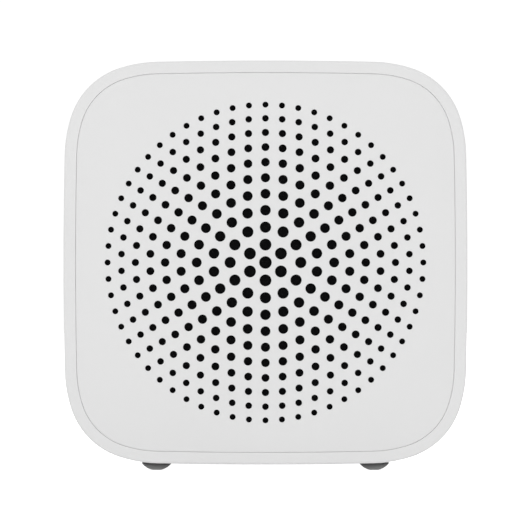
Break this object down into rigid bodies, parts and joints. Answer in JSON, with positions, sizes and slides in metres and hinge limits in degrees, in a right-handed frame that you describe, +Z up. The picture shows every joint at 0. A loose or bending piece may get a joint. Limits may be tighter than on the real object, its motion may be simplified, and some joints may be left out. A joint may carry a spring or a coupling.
{
  "type": "smart speaker",
  "caption": "Cube-shaped smart speaker with a flush round-hole front panel, sprung top keys, a rear power inlet and rubber dome feet.",
  "frame": {"origin": "middle of the footprint, on the surface that the feet stand on", "axes": "+Z up, front panel faces -Y, +X to the right seen from the front"},
  "size_m": [0.09, 0.084, 0.0915],
  "materials": {
    "shell": "fine moulded satin",
    "panel": "fine moulded satin",
    "cloth": "black woven acoustic mesh",
    "seal": "soft black foam",
    "box": "black moulded",
    "steel": "zinc plated",
    "frame": "black pressed steel",
    "magnet": "sintered ferrite",
    "cone": "pressed paper",
    "surround": "moulded rubber",
    "spider": "resin dipped weave",
    "former": "thin sheet",
    "coil": "enamelled copper wire",
    "board": "green solder mask",
    "chip": "moulded epoxy",
    "can": "tinned sheet",
    "capacitor": "bare can",
    "socket": "natural nylon",
    "lead": "insulated wire",
    "ribbon": "white flat cable",
    "jack": "black nylon",
    "pin": "nickel plated",
    "key": "fine moulded satin",
    "switch": "black nylon",
    "plunger": "natural acetal",
    "light": "milky polycarbonate",
    "foot": "matte moulded rubber",
    "aerial": "black solder mask"
  },
  "bodies": {
    "cabinet": {"main_shell": "shell", "front_grille": "panel", "grille_cloth": "cloth", "rear_cover": "shell", "rear_seal": "seal", "cover_screws": "steel", "speaker_box": "box", "box_seal": "seal", "box_lid": "box", "lead_grommet": "seal", "flange_screws": "steel", "lid_screws": "steel", "driver_frame": "frame", "driver_top_plate": "steel", "driver_magnet": "magnet", "driver_yoke": "steel", "surround": "surround", "spider": "spider", "driver_seal": "seal", "driver_terminal": "board", "tinsel_leads": "coil", "main_board": "board", "shield_can": "can", "processor": "chip", "amplifier_chip": "chip", "power_chokes": "chip", "electrolytic_capacitors": "capacitor", "speaker_socket": "socket", "ribbon_sockets": "socket", "board_screws": "steel", "speaker_leads": "lead", "ribbon_cable": "ribbon", "aerial_board": "aerial", "aerial_socket": "pin", "aerial_lead": "chip", "jack_housing": "jack", "jack_pin": "pin", "key_board": "board", "key_board_screws": "steel", "switch_housings": "switch", "microphones": "can", "microphone_seals": "seal", "status_led": "socket", "light_guide": "light", "front_left_foot": "foot", "rear_left_foot": "foot", "front_right_foot": "foot", "rear_right_foot": "foot"},
    "play_key_body": {"play_key": "key", "play_plunger": "plunger"},
    "volume_down_key_body": {"volume_down_key": "key", "volume_down_plunger": "plunger"},
    "volume_up_key_body": {"volume_up_key": "key", "volume_up_plunger": "plunger"},
    "mute_key_body": {"mute_key": "key", "mute_plunger": "plunger"},
    "cone_body": {"driver_cone": "cone", "dust_cap": "cone", "coil_former": "former", "voice_coil": "coil"}
  },
  "joints": [
    {"name": "play_key_press", "type": "slide", "parent": "cabinet", "child": "play_key_body", "axis": [0, 0, -1], "range_m": [0, 0.0004], "stiffness_N_per_m": 2500, "springref_m": -0.0002},
    {"name": "volume_down_key_press", "type": "slide", "parent": "cabinet", "child": "volume_down_key_body", "axis": [0, 0, -1], "range_m": [0, 0.0004], "stiffness_N_per_m": 2500, "springref_m": -0.0002},
    {"name": "volume_up_key_press", "type": "slide", "parent": "cabinet", "child": "volume_up_key_body", "axis": [0, 0, -1], "range_m": [0, 0.0004], "stiffness_N_per_m": 2500, "springref_m": -0.0002},
    {"name": "mute_key_press", "type": "slide", "parent": "cabinet", "child": "mute_key_body", "axis": [0, 0, -1], "range_m": [0, 0.0004], "stiffness_N_per_m": 2500, "springref_m": -0.0002},
    {"name": "cone_stroke", "type": "slide", "parent": "cabinet", "child": "cone_body", "axis": [0, -1, 0], "range_m": [-0.0012, 0.0012], "stiffness_N_per_m": 1500, "deforming": ["surround", "spider", "tinsel_leads"]}
  ]
}
